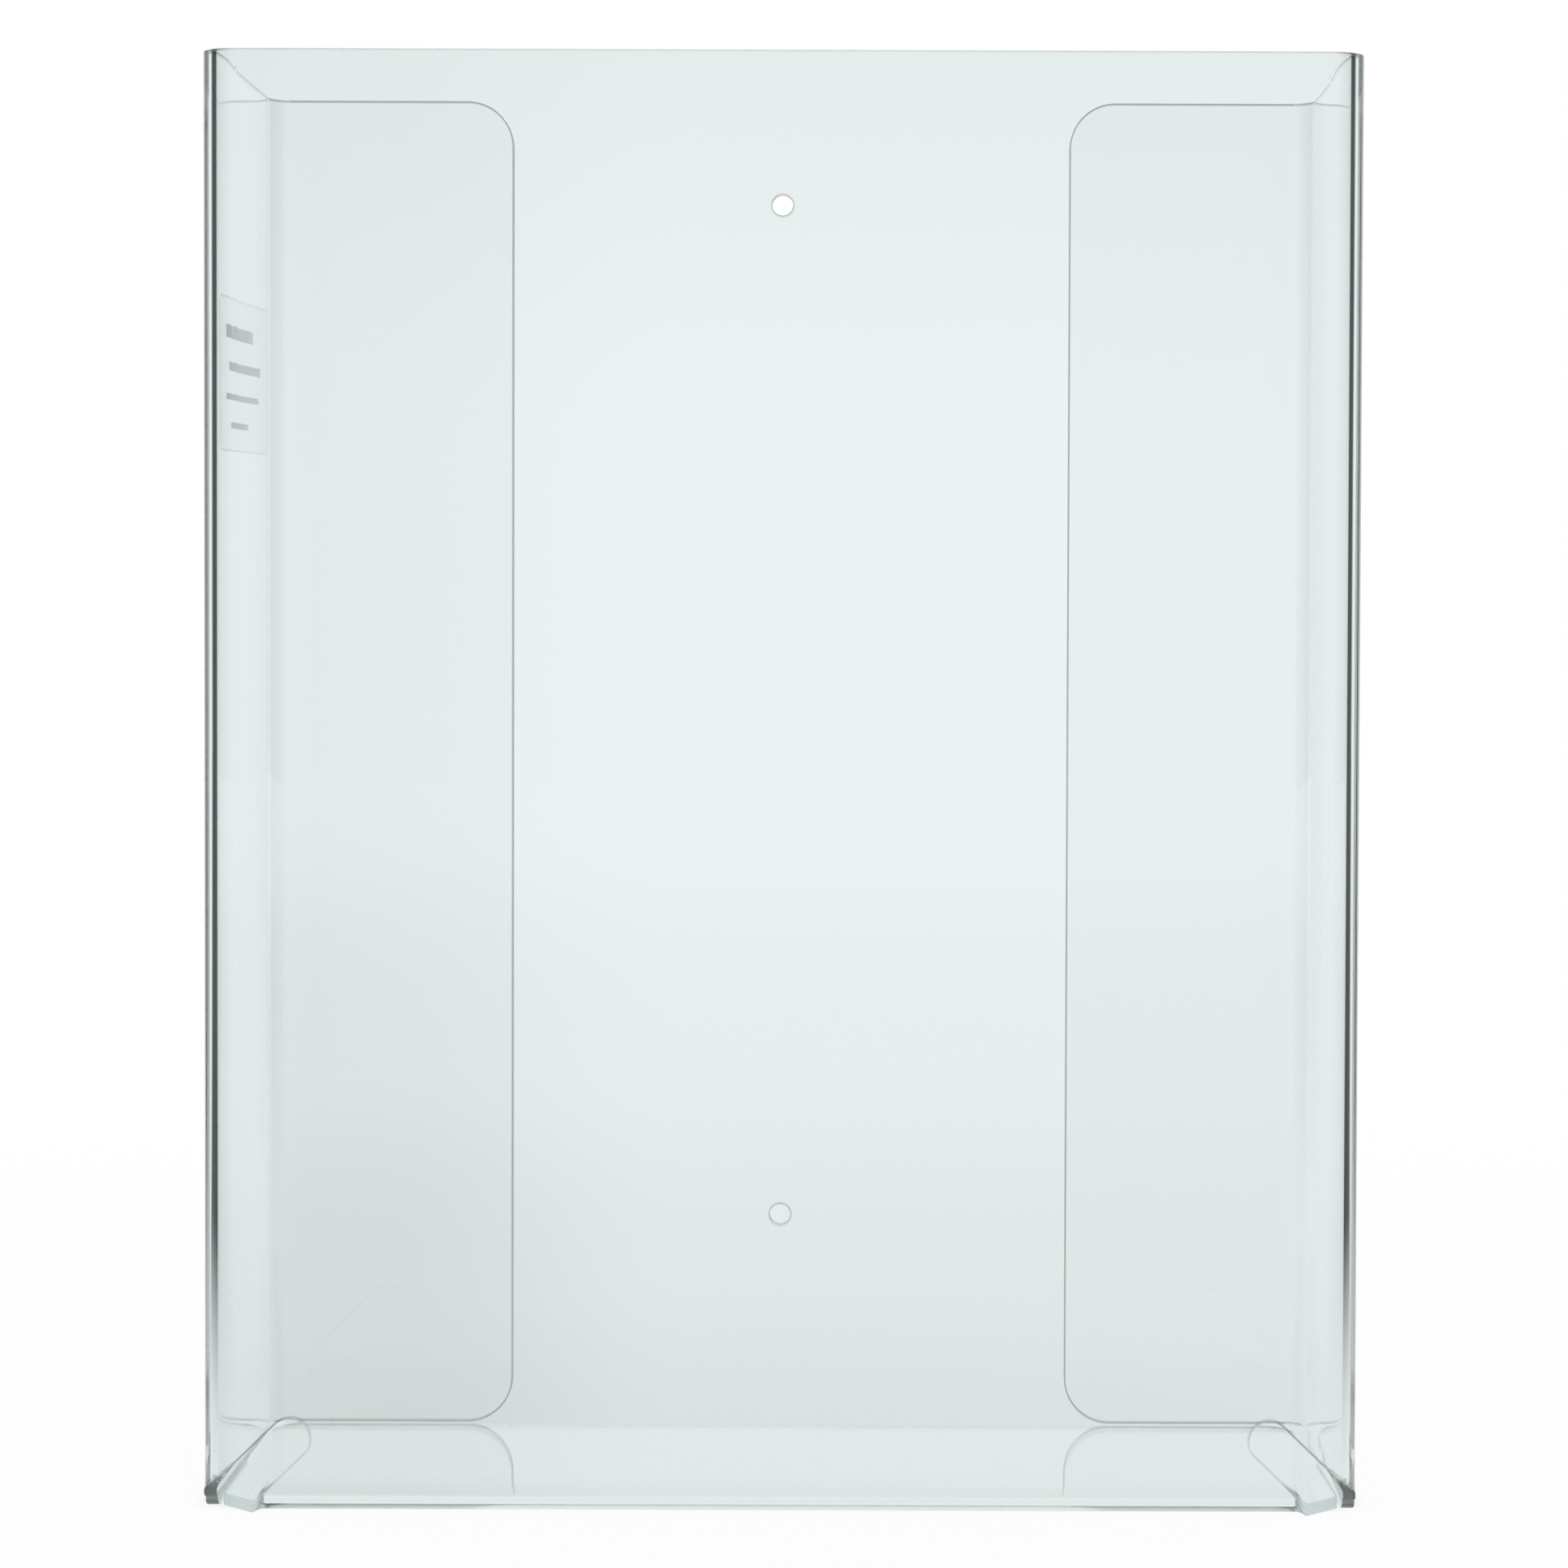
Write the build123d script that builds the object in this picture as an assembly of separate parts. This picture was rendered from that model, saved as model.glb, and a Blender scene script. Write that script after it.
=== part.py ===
from build123d import *
import math
import os

# Wall-hung dispenser for three boxes of disposable gloves, folded from one clear sheet.
# The sheet makes a back panel, two side walls, two front flanges and a floor shelf.
# +Z is up, -Y is the wall side, and the origin is under the middle of the shelf.

# ---------------------------------------------------------------- driving dimensions (mm)
WIDTH = 280.0                # outside, across the side walls
DEPTH = 96.0                 # wall face to the front of the flanges
HEIGHT = 353.0               # underside of the shelf to the open top
SHEET = 3.0                  # thickness of the clear sheet
BEND_RADIUS = 9.0            # outside radius of every line bend
WINDOW_WIDTH = 146.5         # open front between the two flanges
FLANGE_CORNER_RADIUS = 12.0  # free corners of the flanges, top and bottom
FLANGE_LIFT = 3.5            # bottom of the flanges above the underside of the shelf

SCREW_HOLE_DIAMETER = 5.0
LOWER_HOLE_HEIGHT = 73.5
HOLE_SPACING = 242.5

SLOT_WIDTH = 9.8             # diagonal relief slot where two bend lines would cross
SLOT_ANGLE = 44.0            # fall of the slot towards the lower corner, degrees
SLOT_END_X = 118.3           # centre of the slot's closed end, from the middle of the panel
SLOT_END_Z = 18.6            # the same centre, above the underside
SLOT_RUN = 45.0              # past the corner, where the slot is open

SHELF_FRONT_GAP = 0.2        # shelf edge to the inner face of the flanges
SHELF_CORNER_RADIUS = 10.0   # front corners, clear of the insides of the front bends
SHELF_SIDE_GAP_REAR = 0.8    # shelf edge to the inner faces of the side walls
SHELF_SIDE_GAP_LEFT = 0.5    # at the front, where the shelf leans to the left wall
SHELF_SIDE_GAP_RIGHT = 2.9   # at the front, where it leaves the right wall

# Below the slot the sheet is cut off from the panel, so its free tips uncurl and end flat.
WALL_TIP_BENT_Z = 9.0        # side wall: the full bend ends at this height
WALL_TIP_FLAT_Z = 3.2        # and the sheet is flat below this one
SHELF_TIP_BENT_X = 124.6     # shelf: the full bend ends this far from the middle
SHELF_TIP_FLAT_X = 128.2     # and the sheet is flat beyond here
LEAST_CURL = 0.005           # the flat end of a tip, as a share of the full bend
TOLERANCE = 0.01             # places closer than this are taken as the same
TIP_STEPS = 14               # sections along one tip
SHELF_EDGE_ROUND = 3.0       # where the slot runs out into the shelf's side edge
WALL_EDGE_ROUND = 5.0        # where it runs out into the side wall's lower edge
SIDE_STEP_SETBACK = 84.0     # where the side wall's lower edge steps up to the flange

LABEL_LENGTH = 76.0          # clear film label on the outside of the left wall
LABEL_HEIGHT = 38.0
LABEL_THICKNESS = 0.1
LABEL_CORNER_RADIUS = 2.0
LABEL_REAR_SETBACK = 12.5
LABEL_CENTRE_Z = 277.5
LABEL_TILT = 1.6             # degrees, rising towards the front

# ---------------------------------------------------------------- derived places
BACK_Y = -DEPTH / 2
FRONT_Y = DEPTH / 2
HALF_WIDTH = WIDTH / 2
INNER_X = HALF_WIDTH - SHEET
INNER_RADIUS = BEND_RADIUS - SHEET
BEND_START_X = HALF_WIDTH - BEND_RADIUS
BEND_END_Y = BACK_Y + BEND_RADIUS
SHELF_FRONT_Y = FRONT_Y - SHEET - SHELF_FRONT_GAP
OVERSHOOT = 1.0              # cutters run this far past a face
THROUGH_CUT = 4 * SHEET      # depth of a cutter that has to pass the sheet

MID_RADIUS = BEND_RADIUS - SHEET / 2     # the sheet keeps its length along its middle
BEND_LENGTH = MID_RADIUS * math.pi / 2
SLOT_SLOPE = math.tan(math.radians(SLOT_ANGLE))
SLOT_HALF_DROP = SLOT_WIDTH / 2 / math.cos(math.radians(SLOT_ANGLE))
UPPER_EDGE_Z = SLOT_END_Z + SLOT_HALF_DROP - SLOT_SLOPE * (BEND_START_X - SLOT_END_X)
LOWER_EDGE_X = SLOT_END_X + (SLOT_END_Z - SLOT_HALF_DROP - BEND_RADIUS) / SLOT_SLOPE


def wrapped_walls():
    """Back, side walls and flanges: a rounded tube of sheet, slit open at the front window."""
    outline = RectangleRounded(WIDTH, DEPTH, BEND_RADIUS)
    hollow = RectangleRounded(WIDTH - 2 * SHEET, DEPTH - 2 * SHEET, INNER_RADIUS)
    window = Pos(0, FRONT_Y) * Rectangle(WINDOW_WIDTH, THROUGH_CUT)
    walls = extrude(outline - hollow - window, HEIGHT)
    return walls - panel_foot() - flange_foot()


def panel_foot():
    """The strip of the upright tube whose place the shelf's bend takes."""
    foot = Box(2 * BEND_START_X, BEND_RADIUS, BEND_RADIUS, align=(Align.CENTER, Align.MIN, Align.MIN))
    return Pos(0, BACK_Y, 0) * foot


def flange_foot():
    """Below the flanges and front bends, which stop short of the shelf's top face."""
    depth = DEPTH - SIDE_STEP_SETBACK
    foot = Box(WIDTH, depth, FLANGE_LIFT, align=(Align.CENTER, Align.MAX, Align.MIN))
    return Pos(0, FRONT_Y, 0) * foot


def round_flange_corners(walls):
    """The four free corners beside the window, cut round."""
    across = walls.edges().filter_by(Axis.Y)
    corners = across.filter_by(lambda edge: abs(edge.center().X) < WINDOW_WIDTH / 2 + SHEET)
    free = corners.filter_by(lambda edge: edge.center().Y > 0)
    return fillet(free, FLANGE_CORNER_RADIUS)


def shelf_bend():
    """Quarter turn of sheet from the foot of the back panel into the shelf."""
    ring = Circle(BEND_RADIUS) - Circle(INNER_RADIUS)
    quarter = ring & Pos(-BEND_RADIUS / 2, -BEND_RADIUS / 2) * Rectangle(BEND_RADIUS, BEND_RADIUS)
    section = Plane.YZ * Pos(BEND_END_Y, BEND_RADIUS) * quarter
    return extrude(section, LOWER_EDGE_X, both=True)


def relief_slot(side):
    """Open-ended diagonal slot that keeps the two bend lines apart, cut through the panel."""
    stadium = SlotCenterToCenter(SLOT_RUN, SLOT_WIDTH)
    along = Pos(SLOT_RUN / 2, 0) * stadium
    placed = Pos(side * SLOT_END_X, SLOT_END_Z) * Rot(0, 0, -90 + side * (90 - SLOT_ANGLE)) * along
    back_view = Plane(origin=(0, BACK_Y - OVERSHOOT, 0), x_dir=(1, 0, 0), z_dir=(0, -1, 0))
    return extrude(back_view * placed, -(BEND_RADIUS + OVERSHOOT))


def wall_tip_length(height):
    """Sheet left between the side wall's flat and the slot's upper edge, along the sheet."""
    return BEND_LENGTH - (UPPER_EDGE_Z - height) / SLOT_SLOPE


def shelf_tip_length(across):
    """Sheet left between the shelf's flat and the slot's lower edge, along the sheet."""
    return BEND_LENGTH - (across - LOWER_EDGE_X) * SLOT_SLOPE


def curled_section(length, curl):
    """Section of a tip: a strip of sheet with a share of the full bend's curvature."""
    radius = MID_RADIUS / curl
    turn = length / radius
    outer = radius + SHEET / 2
    inner = radius - SHEET / 2

    def outer_at(angle):
        return (outer * math.sin(angle), outer * (1 - math.cos(angle)))

    def inner_at(angle):
        return (inner * math.sin(angle), SHEET + inner * (1 - math.cos(angle)))

    outside = ThreePointArc(outer_at(0), outer_at(turn / 2), outer_at(turn))
    inside = ThreePointArc(inner_at(turn), inner_at(turn / 2), inner_at(0))
    cut_end = Line(outer_at(turn), inner_at(turn))
    root = Line(inner_at(0), outer_at(0))
    return make_face([outside, cut_end, inside, root])


def curl_between(bent, flat, place):
    """Share of the full bend kept at a place: one at the bent end, easing off to the flat end."""
    share = min(max((place - flat) / (bent - flat), 0), 1)
    return max(share * share * (3 - 2 * share), LEAST_CURL)


def stations(start, end):
    """Evenly spaced places along a tip, both ends included."""
    return [start + (end - start) * step / TIP_STEPS for step in range(TIP_STEPS + 1)]


def wall_tip(side):
    """Rear bend of the side wall below the panel, which uncurls towards its lower corner."""
    sections = []
    for height in stations(UPPER_EDGE_Z, WALL_TIP_FLAT_Z):
        curl = curl_between(WALL_TIP_BENT_Z, WALL_TIP_FLAT_Z, height)
        origin = (side * HALF_WIDTH, BEND_END_Y, height)
        view = Plane(origin=origin, x_dir=(0, -1, 0), z_dir=(0, 0, -side))
        sections.append(view * curled_section(wall_tip_length(height), curl))
    return loft(sections, ruled=True)


def shelf_tip(side):
    """The shelf's bend beside the slot, which uncurls into a flat tongue."""
    sections = []
    for across in stations(LOWER_EDGE_X, SHELF_TIP_FLAT_X):
        curl = curl_between(SHELF_TIP_BENT_X, SHELF_TIP_FLAT_X, across)
        origin = (side * across, BEND_END_Y, 0)
        view = Plane(origin=origin, x_dir=(0, -1, 0), z_dir=(-1, 0, 0))
        sections.append(view * curled_section(shelf_tip_length(across), curl))
    return loft(sections, ruled=True)


def wall_corner(side):
    """What the slot takes from the side wall's rear bend, as one cutter seen from the side."""
    flat_y = BEND_END_Y - wall_tip_length(WALL_TIP_FLAT_Z)
    beyond_y = BEND_END_Y - wall_tip_length(-OVERSHOOT)
    outline = Polyline(
        (BACK_Y - OVERSHOOT, -OVERSHOOT),
        (beyond_y, -OVERSHOOT),
        (flat_y, WALL_TIP_FLAT_Z),
        (BEND_END_Y, WALL_TIP_FLAT_Z),
        (BEND_END_Y, UPPER_EDGE_Z),
        (BACK_Y - OVERSHOOT, UPPER_EDGE_Z),
        close=True,
    )
    slab = extrude(Plane.YZ * make_face(outline), BEND_RADIUS + OVERSHOOT)
    return Pos(BEND_START_X if side > 0 else -HALF_WIDTH - OVERSHOOT, 0, 0) * slab


def round_wall_corners(walls):
    """The lower rear corners of both side walls, where the slots run out."""
    run_out_y = BEND_END_Y - wall_tip_length(0)
    across = walls.edges().filter_by(Axis.X)
    low = across.filter_by(lambda edge: edge.center().Z < TOLERANCE)
    ends = low.filter_by(lambda edge: abs(edge.center().Y - run_out_y) < TOLERANCE)
    return fillet(ends, WALL_EDGE_ROUND)


def shelf_half(side, front_gap):
    """Half of the shelf in plan, from its middle to one side wall, with its flat tongue."""
    rear_x = INNER_X - SHELF_SIDE_GAP_REAR
    front_x = INNER_X - front_gap
    tip_y = BEND_END_Y - shelf_tip_length(SHELF_TIP_FLAT_X)
    edge_y = BEND_END_Y - shelf_tip_length(rear_x)
    outline = Polyline(
        (0, BEND_END_Y),
        (side * SHELF_TIP_FLAT_X, BEND_END_Y),
        (side * SHELF_TIP_FLAT_X, tip_y),
        (side * rear_x, edge_y),
        (side * front_x, SHELF_FRONT_Y),
        (0, SHELF_FRONT_Y),
        close=True,
    )
    plan = make_face(outline)
    run_out = plan.vertices().sort_by_distance((side * rear_x, edge_y)).first
    plan = fillet(run_out, SHELF_EDGE_ROUND)
    outer_front = plan.vertices().sort_by_distance((side * front_x, SHELF_FRONT_Y)).first
    plan = fillet(outer_front, SHELF_CORNER_RADIUS)
    return extrude(plan, SHEET)


def screw_hole(height):
    """Plain round hole through the back panel."""
    drill = Cylinder(SCREW_HOLE_DIAMETER / 2, THROUGH_CUT, rotation=(90, 0, 0))
    return Pos(0, BACK_Y, height) * drill


def dispenser_body():
    body = round_flange_corners(wrapped_walls())
    for side in (-1, 1):
        body -= relief_slot(side)
        body -= wall_corner(side)
    body = round_wall_corners(body)
    body += shelf_bend()
    body += shelf_half(-1, SHELF_SIDE_GAP_LEFT) + shelf_half(1, SHELF_SIDE_GAP_RIGHT)
    for side in (-1, 1):
        body += wall_tip(side)
        body += shelf_tip(side)
    for height in (LOWER_HOLE_HEIGHT, LOWER_HOLE_HEIGHT + HOLE_SPACING):
        body -= screw_hole(height)
    return body


def side_label():
    film = RectangleRounded(LABEL_LENGTH, LABEL_HEIGHT, LABEL_CORNER_RADIUS)
    centre_y = BACK_Y + LABEL_REAR_SETBACK + LABEL_LENGTH / 2
    placed = Plane.YZ * Pos(centre_y, LABEL_CENTRE_Z) * Rot(0, 0, LABEL_TILT) * film
    return Pos(-HALF_WIDTH, 0, 0) * extrude(placed, -LABEL_THICKNESS)


PARTS = {
    "dispenser_body": dispenser_body(),
    "side_label": side_label(),
}

os.makedirs("parts", exist_ok=True)
for name, shape in PARTS.items():
    solids = shape.solids()
    print(name, "solids", len(solids), "volume", round(shape.volume, 1), "valid", shape.is_valid)
    export_step(shape, f"parts/{name}.step")
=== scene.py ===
# %% [markdown]
# A wall-hung glove-box dispenser, folded from one clear acrylic sheet. The sheet itself is the
# CAD solid and stays as it is: a see-through thing shows every face it has, inside and out, so
# its true thickness, bends, slots and holes have to be real geometry. What is left to do here is
# the finish of the sheet, the label on its side, the light, the floor and the camera. Clear
# plastic has hardly any colour of its own. What we see is what it bends and mirrors, so most of
# this lesson is about the room around it.

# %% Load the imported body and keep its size
import math

import bmesh
import bpy
from mathutils import Matrix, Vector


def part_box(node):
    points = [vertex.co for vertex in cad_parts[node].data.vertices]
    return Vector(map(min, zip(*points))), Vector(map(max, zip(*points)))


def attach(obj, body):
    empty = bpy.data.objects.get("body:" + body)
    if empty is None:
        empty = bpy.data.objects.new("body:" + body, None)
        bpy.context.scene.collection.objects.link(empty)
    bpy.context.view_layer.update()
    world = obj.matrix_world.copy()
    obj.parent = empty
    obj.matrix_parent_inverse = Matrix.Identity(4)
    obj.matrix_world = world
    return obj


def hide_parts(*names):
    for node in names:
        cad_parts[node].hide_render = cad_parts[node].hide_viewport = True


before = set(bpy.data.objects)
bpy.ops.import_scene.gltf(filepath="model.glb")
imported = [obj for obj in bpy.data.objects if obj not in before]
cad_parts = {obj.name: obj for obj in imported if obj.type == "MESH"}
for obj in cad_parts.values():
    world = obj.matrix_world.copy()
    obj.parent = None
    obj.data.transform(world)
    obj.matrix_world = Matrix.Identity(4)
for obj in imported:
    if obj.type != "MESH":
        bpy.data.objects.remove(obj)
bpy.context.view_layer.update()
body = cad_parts["dispenser_body"]
label_low, label_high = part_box("side_label")
print("label spans", [round(high - low, 4) for low, high in zip(label_low, label_high)])

# %% [markdown]
# Every finish below is a small tree of nodes. A few helpers keep the trees short. One adds a node
# and fills its sockets, one adds a Math node, which takes numbers or other nodes' outputs, and
# the rest build on these two. A ramp is given by four numbers: where it starts and ends, and what
# it is there.

# %% Helpers for node trees
CLEAR_RED, CLEAR_BLUE = 0.99, 0.998


def fill(tree, socket, value):
    """A number or colour is set on the socket, and another node's output is linked to it."""
    if isinstance(value, bpy.types.NodeSocket):
        tree.links.new(value, socket)
    else:
        socket.default_value = value


def add(tree, kind, **sockets):
    node = tree.nodes.new(kind)
    for name, value in sockets.items():
        fill(tree, node.inputs[name.replace("_", " ")], value)
    return node.outputs[0]


def maths(tree, operation, first, second=0.0, third=0.0):
    node = tree.nodes.new("ShaderNodeMath")
    node.operation = operation
    for socket, value in zip(node.inputs, (first, second, third)):
        fill(tree, socket, value)
    return node.outputs[0]


def product(tree, first, *others):
    """All the values multiplied."""
    for other in others:
        first = maths(tree, "MULTIPLY", first, other)
    return first


def hypotenuse(tree, first, second):
    """The distance given by two parts at right angles to each other."""
    square = maths(tree, "MULTIPLY_ADD", first, first, maths(tree, "MULTIPLY", second, second))
    return maths(tree, "SQRT", square)


def ramp(tree, value, start, end, low=0.0, high=1.0):
    """Runs smoothly from low to high while value runs from start to end."""
    node = tree.nodes.new("ShaderNodeMapRange")
    node.interpolation_type = "SMOOTHSTEP"
    for socket, number in zip(node.inputs, (value, start, end, low, high)):
        fill(tree, socket, number)
    return node.outputs[0]


def between(tree, value, start, end, soft):
    """One while value lies between start and end, zero outside, with soft steps."""
    rising = ramp(tree, value, start, start + soft)
    falling = ramp(tree, value, end - soft, end, 1.0, 0.0)
    return maths(tree, "MULTIPLY", rising, falling)


def blend(tree, share, first, second):
    """Mixes two colours."""
    node = tree.nodes.new("ShaderNodeMix")
    node.data_type = "RGBA"
    fill(tree, node.inputs[0], share)
    fill(tree, node.inputs[6], first)
    fill(tree, node.inputs[7], second)
    return node.outputs[2]


def separated(tree, vector):
    """The three parts of a vector."""
    node = tree.nodes.new("ShaderNodeSeparateXYZ")
    fill(tree, node.inputs[0], vector)
    return node.outputs[0], node.outputs[1], node.outputs[2]


def tinted(level, red=CLEAR_RED):
    """The faint sea-green of a thick stack of clear acrylic, at a level of brightness."""
    return (red * level, level, CLEAR_BLUE * level, 1.0)


def new_material(name):
    material = bpy.data.materials.new(name)
    material.use_nodes = True
    material.node_tree.nodes.clear()
    return material, material.node_tree


print("helpers ready")

# %% [markdown]
# The sheet is cast acrylic. It could be faked with a half-transparent surface, but then the bends
# and the cut edges would look like thin air. Here it is real glass maths: transmission with
# acrylic's own index of refraction, 1.49, in a closed solid. Light then bends in the corners and
# runs along inside the sheet, and most dark outlines come by themselves; the darker outlines
# along the broken rims, further down, are painted shade.
#
# Only the two skins of the sheet are as smooth as cast. Every cut edge is matt, from the saw or
# the router. A point is on a cut edge when it lies inside the thickness of the sheet, so the
# material works out how deep below the outer skin it is: first for the upright walls, which are a
# rectangle with round corners seen from above, then for the shelf and its bend, seen from the
# side. The two flat tongues at the ends of the shelf's bend are off both of these, so there the
# way a face looks decides: one that faces sideways is cut.

# %% How deep a point lies below the outer skin
SHEET = 0.003
BEND_RADIUS = 0.009
HALF_WIDTH, HALF_DEPTH = 0.140, 0.048
BEND_START_X, BEND_START_Y = HALF_WIDTH - BEND_RADIUS, HALF_DEPTH - BEND_RADIUS
SKIN = 0.00008


def rounded_depth(tree, across, along, radius):
    """Depth below a round-cornered outline; both distances start at the centre of the round."""
    near = maths(tree, "MAXIMUM", across, 0.0)
    far = maths(tree, "MAXIMUM", along, 0.0)
    outside = hypotenuse(tree, near, far)
    inside = maths(tree, "MINIMUM", maths(tree, "MAXIMUM", across, along), 0.0)
    return maths(tree, "SUBTRACT", radius, maths(tree, "ADD", outside, inside))


print("sheet", SHEET, "bend", BEND_RADIUS)

# %% Where the sheet is cut
SHELF_BEND_TOP, SHELF_TOP = 0.009, 0.0032
SHELF_SIDE = 0.1336
TONGUE_START, TONGUE_END = 0.1214, 0.1365
TURNED_START, TURNED_END = 0.4, 0.6
clear_sheet, tree = new_material("clear_sheet_acrylic")
place = tree.nodes.new("ShaderNodeTexCoord")
x, y, z = separated(tree, place.outputs["Object"])
sideways = maths(tree, "ABSOLUTE", x)
backward = maths(tree, "MULTIPLY", y, -1.0)
outward_x = maths(tree, "SUBTRACT", sideways, BEND_START_X)
outward_y = maths(tree, "SUBTRACT", maths(tree, "ABSOLUTE", y), BEND_START_Y)
wall_depth = rounded_depth(tree, outward_x, outward_y, BEND_RADIUS)
wall_cut = between(tree, wall_depth, SKIN, SHEET - SKIN, SKIN)
rear_y = maths(tree, "SUBTRACT", backward, BEND_START_Y)
down_z = maths(tree, "SUBTRACT", BEND_RADIUS, z)
shelf_depth = rounded_depth(tree, rear_y, down_z, BEND_RADIUS)
shelf_cut = between(tree, shelf_depth, SKIN, SHEET - SKIN, SKIN)
shelf_height = ramp(tree, y, -SKIN, SKIN, SHELF_BEND_TOP, SHELF_TOP)
below = maths(tree, "LESS_THAN", z, shelf_height)
inboard = maths(tree, "LESS_THAN", sideways, SHELF_SIDE)
cut = blend(tree, maths(tree, "MULTIPLY", below, inboard), wall_cut, shelf_cut)
surface_facts = tree.nodes.new("ShaderNodeNewGeometry")
facing_x = separated(tree, surface_facts.outputs["True Normal"])[0]
tongue = between(tree, sideways, TONGUE_START, TONGUE_END, SKIN)
low_down = maths(tree, "LESS_THAN", z, SHELF_BEND_TOP)
at_rear = maths(tree, "LESS_THAN", y, 0.0)
tongue = product(tree, tongue, low_down, at_rear)
tongue_cut = ramp(tree, maths(tree, "ABSOLUTE", facing_x), TURNED_START, TURNED_END)
cut = blend(tree, tongue, cut, tongue_cut)
print("cut faces masked")

# %% [markdown]
# The cutter also breaks the corner between skin and edge, by a few tenths of a millimetre. That
# narrow rim scatters light and is what draws the outline of a clear panel. That dark outline is
# painted shade here: the rim gets a mask of its own and a darker tint, along the flanges, the top
# edge and the two holes first, then round the two relief slots. On the top edge the painted shade
# grows from faint in the middle to strong at the corners, and each slot has it stronger on the
# upper side.

# %% Where its rims are broken and get painted shade
RIM_SOLID, RIM_END = 0.0002, 0.0005
FLANGE_INNER_X, FLANGE_ROUND = 0.07325, 0.012
FLANGE_LOW, FLANGE_TOP = 0.0035, 0.353
INNER_FACE = HALF_DEPTH - SHEET - SKIN
HOLE_RADIUS, HOLES_MIDDLE, HOLES_APART = 0.0025, 0.19475, 0.2425
TOP_RIM_SHADE_MIDDLE, TOP_RIM_SHADE_CORNER, HOLE_RIM_SHADE = 0.1, 0.8, 0.5
in_front = maths(tree, "GREATER_THAN", y, INNER_FACE)
above_shelf = maths(tree, "GREATER_THAN", z, SHELF_TOP)
from_edge = maths(tree, "SUBTRACT", FLANGE_INNER_X + FLANGE_ROUND, sideways)
half_flange = 0.5 * (FLANGE_TOP - FLANGE_LOW)
from_middle = maths(tree, "SUBTRACT", z, 0.5 * (FLANGE_LOW + FLANGE_TOP))
from_middle = maths(tree, "ABSOLUTE", from_middle)
from_middle = maths(tree, "SUBTRACT", from_middle, half_flange - FLANGE_ROUND)
flange_depth = rounded_depth(tree, from_edge, from_middle, FLANGE_ROUND)
flange_rim_shade = ramp(tree, flange_depth, RIM_SOLID, RIM_END, 1.0, 0.0)
flange_rim_shade = product(tree, flange_rim_shade, in_front, above_shelf)
top_depth = maths(tree, "SUBTRACT", FLANGE_TOP, z)
top_share = ramp(tree, sideways, BEND_START_X, HALF_WIDTH - SHEET, TOP_RIM_SHADE_MIDDLE, TOP_RIM_SHADE_CORNER)
top_rim_shade = product(tree, ramp(tree, top_depth, RIM_SOLID, RIM_END, 1.0, 0.0), top_share)
from_hole = maths(tree, "ABSOLUTE", maths(tree, "SUBTRACT", z, HOLES_MIDDLE))
from_hole = maths(tree, "SUBTRACT", from_hole, 0.5 * HOLES_APART)
hole_depth = maths(tree, "SUBTRACT", hypotenuse(tree, x, from_hole), HOLE_RADIUS)
hole_rim_shade = product(tree, ramp(tree, hole_depth, RIM_SOLID, RIM_END, HOLE_RIM_SHADE, 0.0), at_rear)
rim_shade = maths(tree, "MAXIMUM", flange_rim_shade, maths(tree, "MAXIMUM", top_rim_shade, hole_rim_shade))
print("rims of flanges, top and holes masked")

# %% The painted shade on the rims of the two relief slots
SLOT_ANGLE = math.radians(44)
SLOT_END_X, SLOT_END_Z, SLOT_RADIUS = 0.1183, 0.0186, 0.0049
LOWER_RIM_SHADE, UPPER_RIM_SHADE, RIM_CHANGE = 0.3, 0.9, 0.003
outward = maths(tree, "SUBTRACT", sideways, SLOT_END_X)
raised = maths(tree, "SUBTRACT", z, SLOT_END_Z)
to_middle = maths(tree, "MULTIPLY", outward, math.sin(SLOT_ANGLE))
to_middle = maths(tree, "MULTIPLY_ADD", raised, math.cos(SLOT_ANGLE), to_middle)
past_end = maths(tree, "MULTIPLY", outward, -math.cos(SLOT_ANGLE))
past_end = maths(tree, "MULTIPLY_ADD", raised, math.sin(SLOT_ANGLE), past_end)
past_end = maths(tree, "MAXIMUM", past_end, 0.0)
slot_depth = maths(tree, "SUBTRACT", hypotenuse(tree, to_middle, past_end), SLOT_RADIUS)
slot_rim_shade = between(tree, slot_depth, -SKIN, RIM_END, RIM_SOLID)
slot_share = ramp(tree, to_middle, -RIM_CHANGE, RIM_CHANGE, LOWER_RIM_SHADE, UPPER_RIM_SHADE)
far_rear = maths(tree, "LESS_THAN", y, -0.5 * HALF_DEPTH)
on_skin = maths(tree, "SUBTRACT", 1.0, cut)
slot_rim_shade = product(tree, slot_rim_shade, slot_share, far_rear, on_skin)
rim_shade = maths(tree, "MAXIMUM", rim_shade, slot_rim_shade)
print("rims of the slots masked")

# %% Finish of the clear sheet
ACRYLIC_INDEX = 1.49
GRAIN_SCALE, GRAIN_DETAIL = 400.0, 2.0
GRAIN_TO_ROUGHNESS = (0.3, 0.7, 0.34, 0.42)
# The rim level is painted shade, the dark outline of the broken rims.
SKIN_LEVEL, CUT_LEVEL, RIM_SHADE_LEVEL = 0.997, 0.86, 0.42
EDGE_RED = 0.93
grain = add(
    tree, "ShaderNodeTexNoise",
    Vector=place.outputs["Object"], Scale=GRAIN_SCALE, Detail=GRAIN_DETAIL,
)
sawn = ramp(tree, grain, *GRAIN_TO_ROUGHNESS)
colour = blend(tree, cut, tinted(SKIN_LEVEL), tinted(CUT_LEVEL, EDGE_RED))
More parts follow.
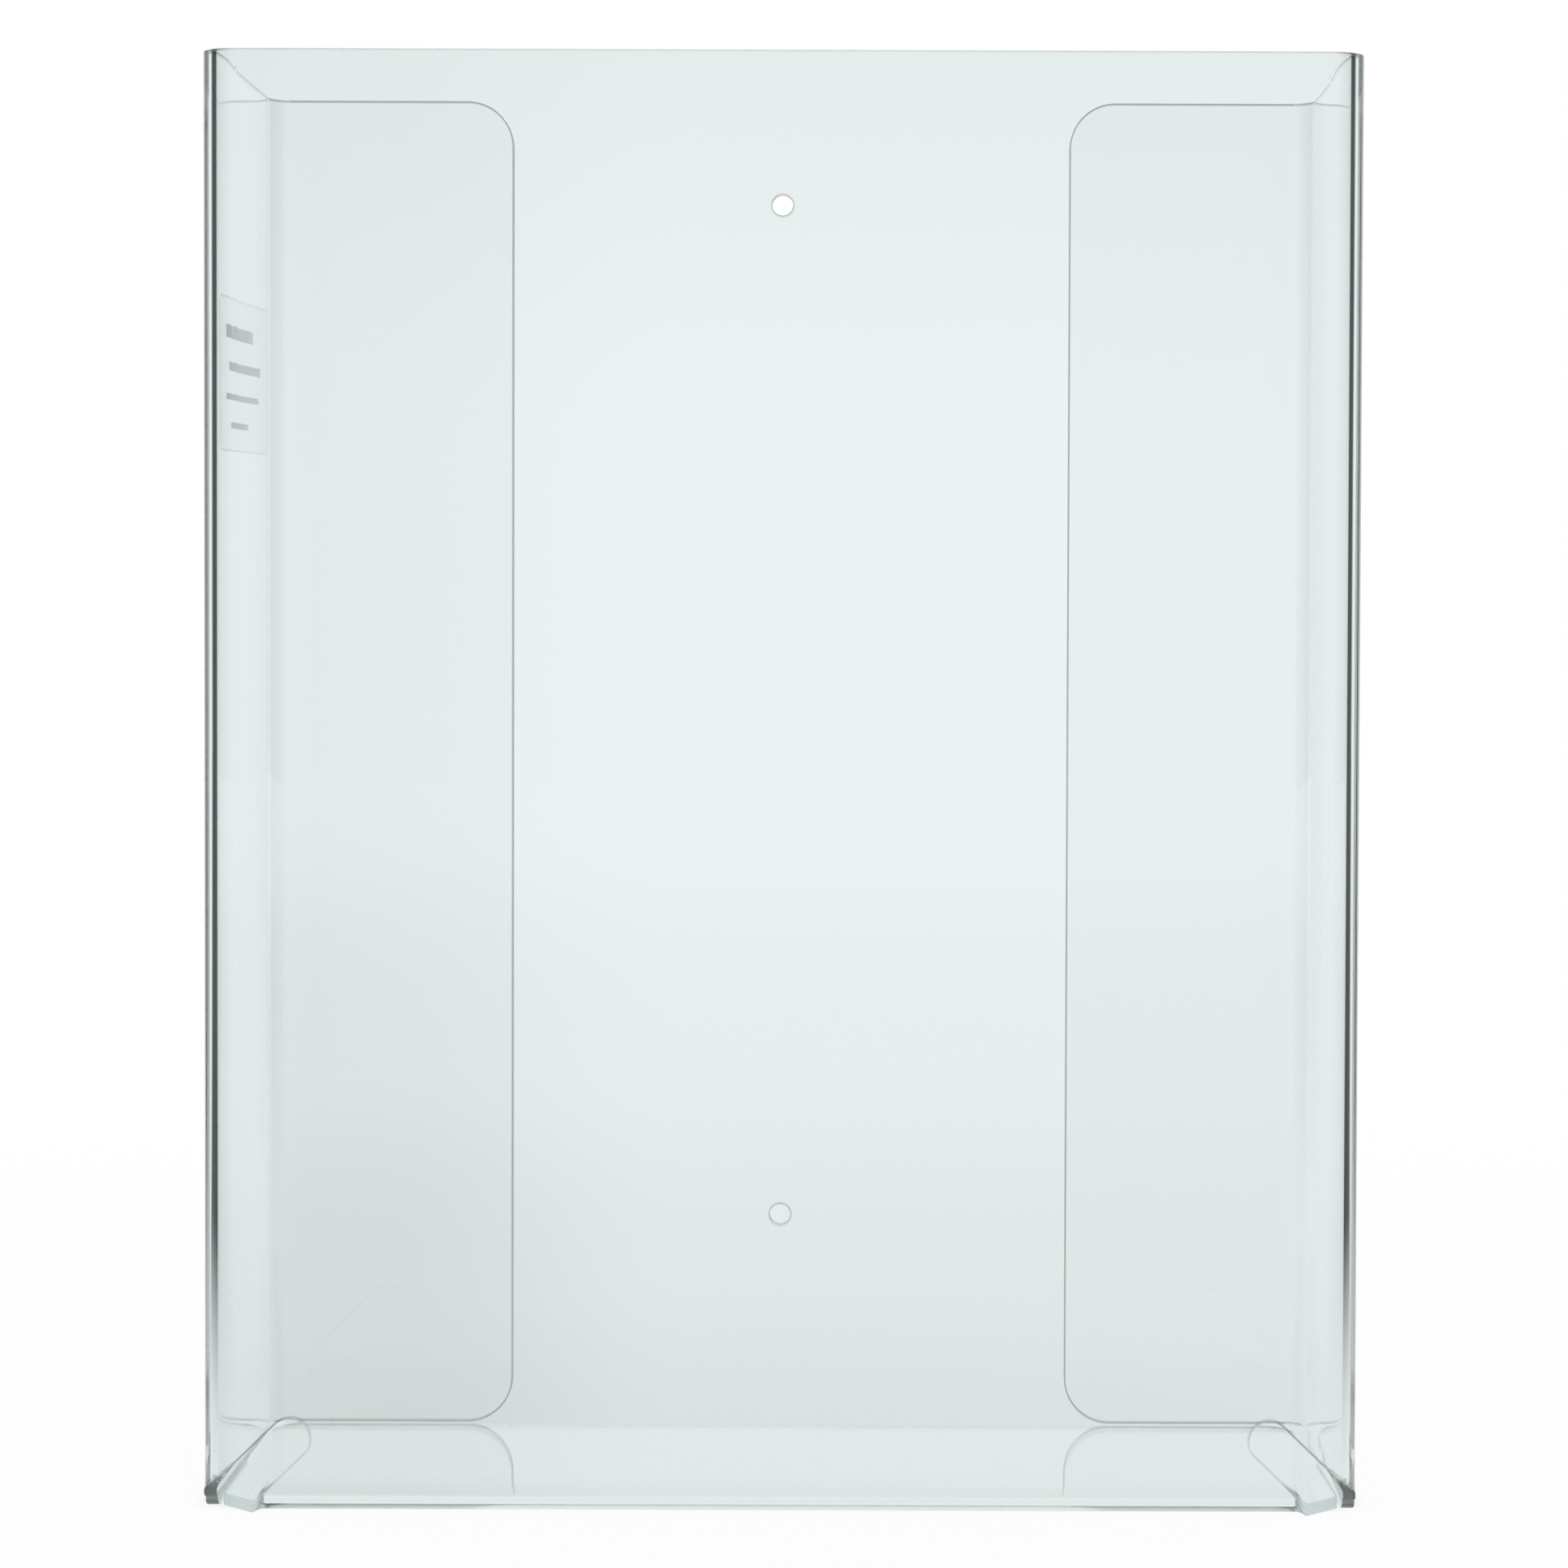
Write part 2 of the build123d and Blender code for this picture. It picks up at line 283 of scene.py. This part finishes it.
# Painted shade: the broken rims are tinted dark, to draw the panel's outline.
colour = blend(tree, rim_shade, colour, tinted(RIM_SHADE_LEVEL, EDGE_RED))
surface = tree.nodes.new("ShaderNodeBsdfPrincipled")
fill(tree, surface.inputs["Base Color"], colour)
fill(tree, surface.inputs["Roughness"], maths(tree, "MULTIPLY", cut, sawn))
surface.inputs["Transmission Weight"].default_value = 1.0
surface.inputs["IOR"].default_value = ACRYLIC_INDEX
output = tree.nodes.new("ShaderNodeOutputMaterial")
tree.links.new(surface.outputs[0], output.inputs["Surface"])
for material_slot in body.material_slots:
    material_slot.material = clear_sheet
print("clear sheet on", body.name)

# %% [markdown]
# The label on the side is a clear adhesive film with a little plain print. It is a very thin
# plate with round corners, turned a degree and a half because it was put on by hand. The film
# hides almost nothing, so most of it is see-through: its rim catches a little light, and the
# print is four rows of plain grey bars.

# %% The film
TILT = math.radians(1.6)
FILM_LENGTH, FILM_HEIGHT, FILM_ROUND = 0.076, 0.038, 0.002
FILM_INNER_X, FILM_OUTER_X = -0.14003, -0.14009
FILM_MIDDLE_Y, FILM_MIDDLE_Z = 0.0025, 0.2775
ROUND_STEPS = 6
bpy.ops.object.select_all(action="DESELECT")
bpy.ops.mesh.primitive_cube_add(size=1.0)
film = bpy.context.object
film.name = "side_label_film"
film.scale = (FILM_INNER_X - FILM_OUTER_X, FILM_LENGTH, FILM_HEIGHT)
bpy.ops.object.transform_apply(location=False, rotation=False, scale=True)
bpy.ops.object.mode_set(mode="EDIT")
bpy.ops.mesh.select_all(action="DESELECT")
shell = bmesh.from_edit_mesh(film.data)
for edge in shell.edges:
    start, end = edge.verts
    edge.select = abs(start.co.x - end.co.x) > 0.5 * (FILM_INNER_X - FILM_OUTER_X)
bmesh.update_edit_mesh(film.data)
bpy.ops.mesh.bevel(offset=FILM_ROUND, segments=ROUND_STEPS, affect="EDGES")
bpy.ops.object.mode_set(mode="OBJECT")
film.rotation_euler = (TILT, 0.0, 0.0)
film.location = (0.5 * (FILM_INNER_X + FILM_OUTER_X), FILM_MIDDLE_Y, FILM_MIDDLE_Z)
bpy.ops.object.transform_apply(location=True, rotation=True, scale=True)
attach(film, "root")
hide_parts("side_label")
print("film", [round(side, 4) for side in film.dimensions])

# %% Finish of the film and its print
# Each row of print: height above the label's middle, height of the letters, and both ends.
ROWS = (
    (0.0105, 0.0034, -0.030, 0.016),
    (0.0020, 0.0024, -0.026, 0.027),
    (-0.0055, 0.0017, -0.030, 0.024),
    (-0.0125, 0.0017, -0.022, 0.008),
)
ROW_SOFT = 0.0002
SPECKLE_SCALE, SPECKLE_DETAIL = 2500.0, 1.0
SPECKLE_TO_INK = (0.25, 0.45, 0.75, 0.92)
FILM_RIM = (-0.0006, -0.0002, 0.05, 0.3)
FILM_COLOUR, INK_COLOUR = (0.62, 0.66, 0.65, 1.0), (0.035, 0.037, 0.04, 1.0)
FILM_ROUGHNESS = 0.35
clear_film, tree = new_material("printed_clear_film")
place = tree.nodes.new("ShaderNodeTexCoord")
centred = tree.nodes.new("ShaderNodeMapping")
centred.vector_type = "TEXTURE"
centred.inputs["Location"].default_value = (0.0, FILM_MIDDLE_Y, FILM_MIDDLE_Z)
centred.inputs["Rotation"].default_value = (TILT, 0.0, 0.0)
tree.links.new(place.outputs["Object"], centred.inputs["Vector"])
along, upward = separated(tree, centred.outputs[0])[1:]
ink = 0.0
for middle, height, start, end in ROWS:
    across_row = between(tree, upward, middle - height / 2, middle + height / 2, ROW_SOFT)
    along_row = between(tree, along, start, end, ROW_SOFT)
    ink = maths(tree, "MAXIMUM", ink, maths(tree, "MULTIPLY", across_row, along_row))
speckle = add(
    tree, "ShaderNodeTexNoise",
    Vector=place.outputs["Object"], Scale=SPECKLE_SCALE, Detail=SPECKLE_DETAIL,
)
ink = maths(tree, "MULTIPLY", ink, ramp(tree, speckle, *SPECKLE_TO_INK))
edge_y = maths(tree, "SUBTRACT", maths(tree, "ABSOLUTE", along), 0.5 * FILM_LENGTH)
edge_z = maths(tree, "SUBTRACT", maths(tree, "ABSOLUTE", upward), 0.5 * FILM_HEIGHT)
film_rim = ramp(tree, maths(tree, "MAXIMUM", edge_y, edge_z), *FILM_RIM)
surface = tree.nodes.new("ShaderNodeBsdfPrincipled")
fill(tree, surface.inputs["Base Color"], blend(tree, ink, FILM_COLOUR, INK_COLOUR))
fill(tree, surface.inputs["Alpha"], maths(tree, "MAXIMUM", ink, film_rim))
surface.inputs["Roughness"].default_value = FILM_ROUGHNESS
output = tree.nodes.new("ShaderNodeOutputMaterial")
tree.links.new(surface.outputs[0], output.inputs["Surface"])
film.data.materials.append(clear_film)
print("film finish ready")

# %% [markdown]
# The room. Clear plastic on a white ground is lit as jewellers and glassmakers light it, with a
# bright field: white behind it, so that light passes straight through the flat panels, and darker
# sides, so that the bends and cut edges, which look sideways, draw themselves as dark lines. A
# ray that has only passed through sees the white field. A ray that has been mirrored on its way
# sees the room, which is dark at the sides. Light Path tells the two apart.

# %% Levels of the room
LIGHT = (0.94, 1.0, 0.996, 1.0)
BLACK, WHITE = (0.0, 0.0, 0.0, 1.0), (1.0, 1.0, 1.0, 1.0)
SIDE_WALLS = (0.58, 0.8, 1.0, 0.06)
FRONT_LEVEL = 0.9
REAR_TO_FRONT = (-0.3, 0.3, 0.5, FRONT_LEVEL)
CEILING = (0.25, 0.55, 0.0, FRONT_LEVEL)


def room(tree, across, along, upward):
    """How bright the room is in a direction, given by its parts along X, Y and Z."""
    side = ramp(tree, maths(tree, "ABSOLUTE", across), *SIDE_WALLS)
    end = ramp(tree, along, *REAR_TO_FRONT)
    ceiling = ramp(tree, upward, *CEILING)
    return maths(tree, "MULTIPLY", side, maths(tree, "MAXIMUM", end, ceiling))


def lit(tree, through, mirrored, open_view):
    """Chooses a level by how the ray came here, and tints it; a camera ray sees open_view."""
    path = tree.nodes.new("ShaderNodeLightPath")
    was_mirrored = maths(tree, "MINIMUM", path.outputs["Glossy Depth"], 1.0)
    level = blend(tree, was_mirrored, through, mirrored)
    colour = blend(tree, level, BLACK, LIGHT)
    return blend(tree, path.outputs["Is Camera Ray"], colour, open_view)


print("levels ready")

# %% [markdown]
# The white field is a little less bright high up, far to either side, and to the left, where the
# room takes some of its light.

# %% The world around the dispenser
FIELD_HIGH_UP = (0.04, 0.17, 0.93, 0.87)
FIELD_BESIDE = (0.1, 0.3, 1.0, 0.93)
FIELD_LEFT = (-0.13, -0.05, 0.97, 1.0)
world = bpy.data.worlds.new("bright_field")
bpy.context.scene.world = world
world.use_nodes = True
tree = world.node_tree
tree.nodes.clear()
place = tree.nodes.new("ShaderNodeTexCoord")
across, along, upward = separated(tree, place.outputs["Generated"])
beside = ramp(tree, maths(tree, "ABSOLUTE", across), *FIELD_BESIDE)
left = ramp(tree, across, *FIELD_LEFT)
field = product(tree, ramp(tree, upward, *FIELD_HIGH_UP), beside, left)
seen = lit(tree, field, room(tree, across, along, upward), WHITE)
background = add(tree, "ShaderNodeBackground", Color=seen, Strength=1.0)
output = tree.nodes.new("ShaderNodeOutputWorld")
tree.links.new(background, output.inputs["Surface"])
print("world ready")

# %% [markdown]
# The floor is a plain pale table top under the part. Most of its colour is its own light, so that
# it meets the white field without an edge, and the little that is left takes the part's real
# shadow. It has three levels, as the room has. Seen straight through the sheet it carries painted
# shade: it darkens towards the part, most right under it, more so on the left, and a little to
# either side. Seen in a mirroring face it is pale near the part and turns into the room further
# out. Seen openly it is white, with a soft painted shadow under the part and cast ahead of it.

# %% The floor, with painted shade where it is seen through the sheet
FLOOR_SIZE, FLOOR_DROP = 8.0, 0.0006
THROUGH_NEAR_SHADE = (0.0, 0.9, 0.80, 0.885)
THROUGH_FAR = (0.9, 2.7, 1.0, 1.05)
THROUGH_UNDER_SHADE = (0.05, 0.3, 0.945, 1.0)
LEFT_SHADE_WIDENING = 0.5
LEFT_SHADE_SIDE = (-0.17, -0.05, 1.0, 0.0)
LEFT_SHADE_NEAR = (0.3, 0.9, 0.12, 0.07)
LEFT_SHADE_FAR = (0.9, 4.0, 1.0, 0.5)
BESIDE_SHADE_SIDE = (0.25, 0.7, 0.0, 0.07)
BESIDE_SHADE_FAR = (0.9, 2.5, 1.0, 0.0)
bpy.ops.object.select_all(action="DESELECT")
bpy.ops.mesh.primitive_plane_add(size=FLOOR_SIZE, location=(0.0, 0.0, -FLOOR_DROP))
floor = bpy.context.object
floor.name = "pale_floor"
pale, tree = new_material("pale_table_top")
place = tree.nodes.new("ShaderNodeTexCoord")
floor_x, floor_y = separated(tree, place.outputs["Object"])[:2]
aside = maths(tree, "ABSOLUTE", floor_x)
length = tree.nodes.new("ShaderNodeVectorMath")
length.operation = "LENGTH"
tree.links.new(place.outputs["Object"], length.inputs[0])
distance = length.outputs["Value"]
# Painted shade: the floor seen through the sheet is darker on the left, near the part.
left = maths(tree, "DIVIDE", floor_x, maths(tree, "ADD", distance, LEFT_SHADE_WIDENING))
left = product(
    tree, ramp(tree, left, *LEFT_SHADE_SIDE),
    ramp(tree, distance, *LEFT_SHADE_NEAR), ramp(tree, distance, *LEFT_SHADE_FAR),
)
# Painted shade: a little darker to either side, near the part.
beside = product(tree, ramp(tree, aside, *BESIDE_SHADE_SIDE), ramp(tree, distance, *BESIDE_SHADE_FAR))
# Seen through the sheet, the floor carries painted shade: darker towards the part and right under
# it.
through = product(
    tree, ramp(tree, distance, *THROUGH_NEAR_SHADE),
    ramp(tree, distance, *THROUGH_FAR), ramp(tree, distance, *THROUGH_UNDER_SHADE),
    maths(tree, "SUBTRACT", 1.0, left), maths(tree, "SUBTRACT", 1.0, beside),
)
print("levels through the sheet ready")

# %% What is mirrored, and the open view with its painted shadow
NEAR_LEVEL = 0.84
NEAR_COLOUR = (NEAR_LEVEL, NEAR_LEVEL, NEAR_LEVEL, 1.0)
NEAR_TO_ROOM = (0.12, 0.6)
CONTACT_SIDE, CONTACT_END = (0.132, 0.146, 1.0, 0.0), (0.09, 0.2, 1.0, 0.0)
CONTACT_START = (-0.040, -0.028)
CAST_SIDE, CAST_END = (0.015, 0.15, 1.0, 0.0), (0.42, 0.8, 1.0, 0.0)
CAST_START = (0.0, 0.05)
OWN_LIGHT_SHARE = (0.15, 0.9, 0.96, 1.0)
MATT_COLOUR = (0.9, 0.9, 0.9, 1.0)
room_x = maths(tree, "DIVIDE", floor_x, distance)
room_y = maths(tree, "DIVIDE", floor_y, distance)
around = room(tree, room_x, room_y, 0.0)
around = blend(tree, ramp(tree, distance, *NEAR_TO_ROOM), NEAR_COLOUR, around)
contact = product(
    tree, ramp(tree, aside, *CONTACT_SIDE),
    ramp(tree, floor_y, *CONTACT_START), ramp(tree, floor_y, *CONTACT_END),
)
cast = product(
    tree, ramp(tree, aside, *CAST_SIDE),
    ramp(tree, floor_y, *CAST_START), ramp(tree, floor_y, *CAST_END),
)
shadow = maths(tree, "MAXIMUM", contact, cast)
open_floor = blend(tree, shadow, WHITE, blend(tree, through, BLACK, LIGHT))
floor_light = lit(tree, through, around, open_floor)
own_light = add(tree, "ShaderNodeEmission", Color=floor_light, Strength=1.0)
matt = add(tree, "ShaderNodeBsdfDiffuse", Color=MATT_COLOUR)
mix = tree.nodes.new("ShaderNodeMixShader")
fill(tree, mix.inputs[0], ramp(tree, distance, *OWN_LIGHT_SHARE))
tree.links.new(matt, mix.inputs[1])
tree.links.new(own_light, mix.inputs[2])
output = tree.nodes.new("ShaderNodeOutputMaterial")
tree.links.new(mix.outputs[0], output.inputs["Surface"])
floor.data.materials.append(pale)
print("floor ready")

# %% [markdown]
# The camera stands behind the dispenser, about a metre away and a little above its foot, and
# looks almost straight through the back panel at the two flanges.

# %% The camera
YAW, PITCH, ROLL = math.radians(-0.033), math.radians(1.485), math.radians(0.194)
CAMERA_PLACE = (0.02306, -0.95743, 0.21670)
SENSOR_WIDTH, FOCAL_LENGTH = 36.0, 86.98
SHIFT_X, SHIFT_Y = -0.0609, -0.0417
camera_data = bpy.data.cameras.new("camera")
camera_data.sensor_width = SENSOR_WIDTH
camera_data.lens = FOCAL_LENGTH
camera_data.shift_x, camera_data.shift_y = SHIFT_X, SHIFT_Y
camera = bpy.data.objects.new("camera", camera_data)
bpy.context.scene.collection.objects.link(camera)
tipped = Matrix.Rotation(math.pi / 2 - PITCH, 4, "X") @ Matrix.Rotation(ROLL, 4, "Z")
aim = Matrix.Rotation(YAW, 4, "Z") @ tipped
camera.matrix_world = Matrix.Translation(CAMERA_PLACE) @ aim
bpy.context.scene.camera = camera
bpy.context.scene.view_settings.view_transform = "Standard"
print("camera at", [round(part, 3) for part in CAMERA_PLACE])

# %% [markdown]
# Light that enters the sheet through a cut edge is mirrored from skin to skin many times before
# it leaves. Cycles gives up on a ray after four mirrorings unless it is told otherwise, and what
# it has given up on is black, so the limits are raised here.

# %% How long a ray may run
MOST_BOUNCES, MOST_MIRRORINGS, MOST_PASSES = 40, 36, 24
cycles = bpy.context.scene.cycles
cycles.max_bounces = MOST_BOUNCES
cycles.glossy_bounces = MOST_MIRRORINGS
cycles.transmission_bounces = MOST_PASSES
print("bounces", cycles.max_bounces)
